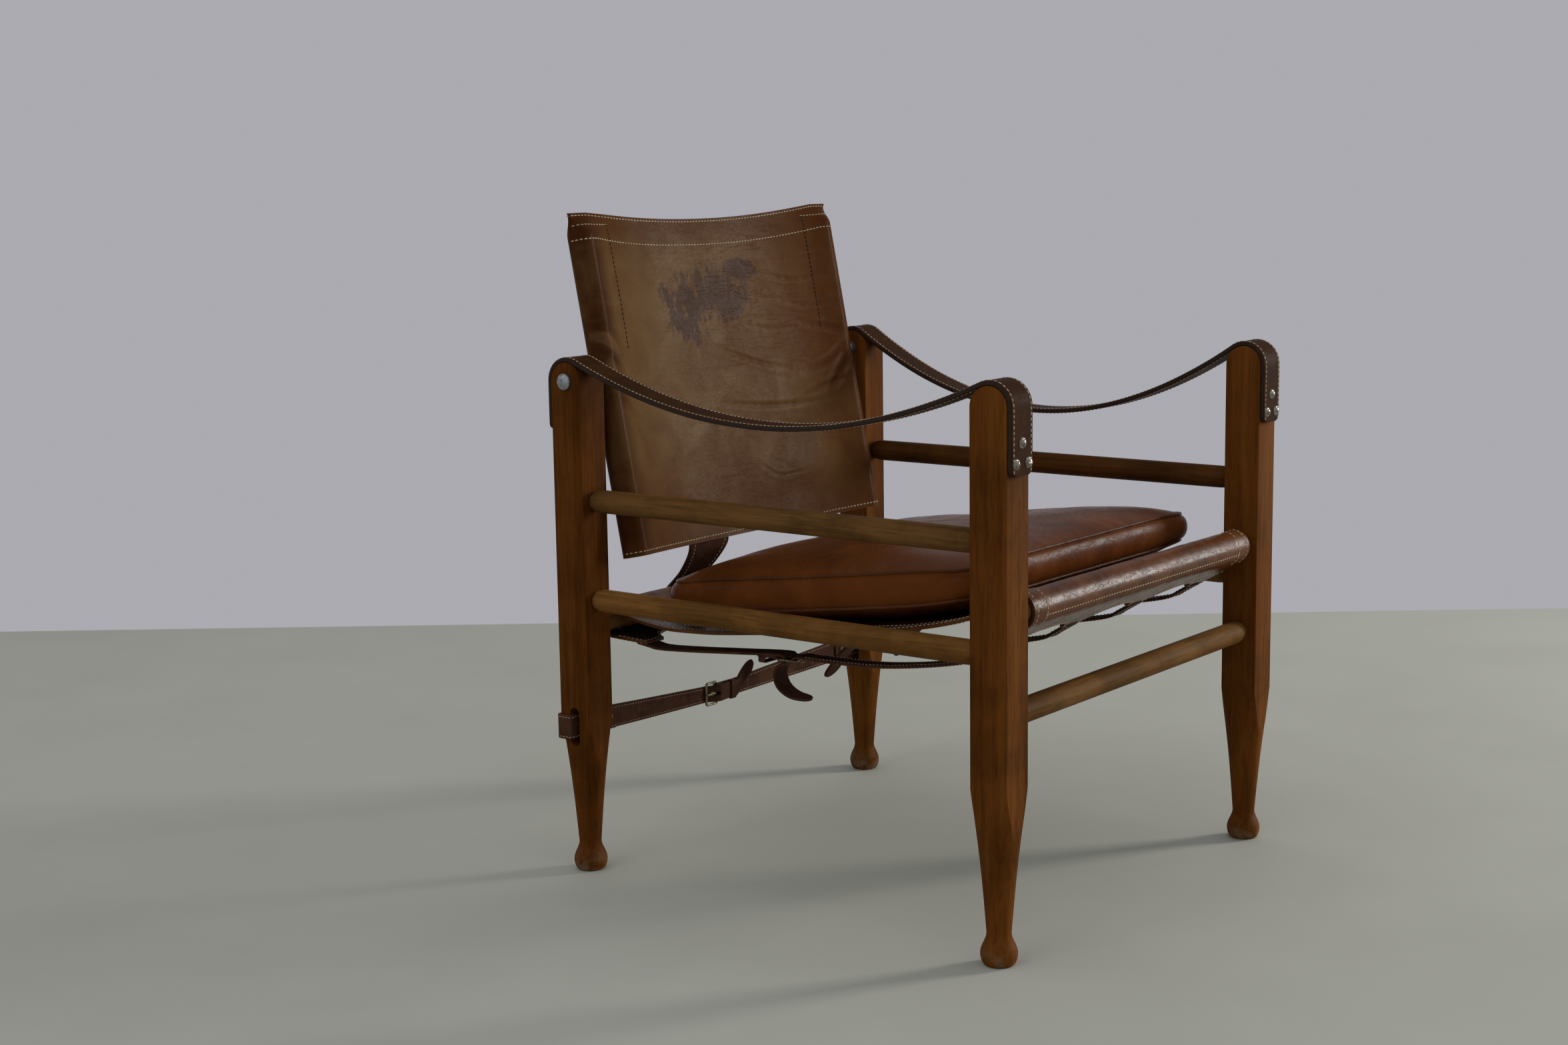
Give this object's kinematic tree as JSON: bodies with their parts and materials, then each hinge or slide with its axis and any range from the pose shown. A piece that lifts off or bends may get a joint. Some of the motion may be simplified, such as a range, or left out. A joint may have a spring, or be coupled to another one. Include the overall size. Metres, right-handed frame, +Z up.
{
  "type": "campaign chair",
  "caption": "Knock-down campaign armchair: turned wooden legs and rails, tilting leather back, buckled leather sling under a loose box cushion, and slack leather arm straps.",
  "frame": {"origin": "on the floor, under the middle of the whole outline seen from above", "axes": "+X to the right seen from the front, +Y to the rear, +Z up; a sitter looks along -Y"},
  "size_m": [0.5818, 0.6222, 0.7348],
  "materials": {
    "leg_wood": "oiled",
    "rail_wood": "oiled",
    "back_leather": "worn, semi-gloss",
    "cushion_leather": "worn, glossy",
    "sling_leather": "worn, semi-gloss",
    "strap_leather": "semi-gloss",
    "nickel": "bright",
    "zinc": "dull",
    "brass": "worn"
  },
  "bodies": {
    "frame": {"leg_front_left": "leg_wood", "arm_screw_front_left_1": "nickel", "arm_screw_front_left_2": "nickel", "arm_screw_front_left_3": "nickel", "leg_front_right": "leg_wood", "arm_screw_front_right_1": "nickel", "arm_screw_front_right_2": "nickel", "arm_screw_front_right_3": "nickel", "leg_rear_left": "leg_wood", "arm_screw_rear_left_1": "nickel", "arm_screw_rear_left_2": "nickel", "arm_screw_rear_left_3": "nickel", "leg_rear_right": "leg_wood", "arm_screw_rear_right_1": "nickel", "arm_screw_rear_right_2": "nickel", "arm_screw_rear_right_3": "nickel", "rail_upper_left": "rail_wood", "rail_lower_left": "rail_wood", "arm_strap_left": "strap_leather", "pivot_spacer_left": "zinc", "pivot_bolt_left": "zinc", "tie_strap_left": "strap_leather", "tie_rivet_left": "brass", "rail_upper_right": "rail_wood", "rail_lower_right": "rail_wood", "arm_strap_right": "strap_leather", "pivot_spacer_right": "zinc", "pivot_bolt_right": "zinc", "tie_strap_right": "strap_leather", "tie_rivet_right": "brass", "rail_seat_front": "rail_wood", "rail_seat_rear": "rail_wood", "stretcher_front": "rail_wood", "seat_sling": "sling_leather", "tie_buckle": "brass", "seat_strap_front_1": "strap_leather", "seat_strap_rear_1": "strap_leather", "seat_buckle_1": "brass", "seat_strap_front_2": "strap_leather", "seat_strap_rear_2": "strap_leather", "seat_buckle_2": "brass", "seat_strap_front_3": "strap_leather", "seat_strap_rear_3": "strap_leather", "seat_buckle_3": "brass", "seat_strap_front_4": "strap_leather", "seat_strap_rear_4": "strap_leather", "seat_buckle_4": "brass"},
    "back": {"back_leather": "back_leather", "back_stile_left": "rail_wood", "back_stile_right": "rail_wood", "pivot_insert_left": "brass", "pivot_insert_right": "brass", "back_strap": "strap_leather"},
    "cushion": {"seat_cushion": "cushion_leather"},
    "tongue_1": {"seat_tongue_1": "brass"},
    "tongue_2": {"seat_tongue_2": "brass"},
    "tongue_3": {"seat_tongue_3": "brass"},
    "tongue_4": {"seat_tongue_4": "brass"},
    "tongue_tie": {"tie_tongue": "brass"}
  },
  "joints": [
    {"name": "back_tilt", "type": "hinge", "parent": "frame", "child": "back", "pos_m": [0, 0.26204, 0.554], "axis": [1, 0, 0], "range_deg": [-1, 12], "deforming": ["back_strap"]},
    {"name": "cushion_lift", "type": "slide", "parent": "frame", "child": "cushion", "axis": [0, 0, 1], "range_m": [0, 0.15]},
    {"name": "seat_tongue_1_turn", "type": "hinge", "parent": "frame", "child": "tongue_1", "pos_m": [-0.205, 0.02254, 0.2622], "axis": [1, 0, 0], "range_deg": [0, 6]},
    {"name": "seat_tongue_2_turn", "type": "hinge", "parent": "frame", "child": "tongue_2", "pos_m": [-0.06833, 0.02254, 0.2622], "axis": [1, 0, 0], "range_deg": [0, 6]},
    {"name": "seat_tongue_3_turn", "type": "hinge", "parent": "frame", "child": "tongue_3", "pos_m": [0.06833, 0.02254, 0.2622], "axis": [1, 0, 0], "range_deg": [0, 6]},
    {"name": "seat_tongue_4_turn", "type": "hinge", "parent": "frame", "child": "tongue_4", "pos_m": [0.205, 0.02254, 0.2622], "axis": [1, 0, 0], "range_deg": [0, 6]},
    {"name": "tie_tongue_turn", "type": "hinge", "parent": "frame", "child": "tongue_tie", "pos_m": [-0.03, 0.26724, 0.15775], "axis": [0, 0, 1], "range_deg": [0, 6]}
  ]
}
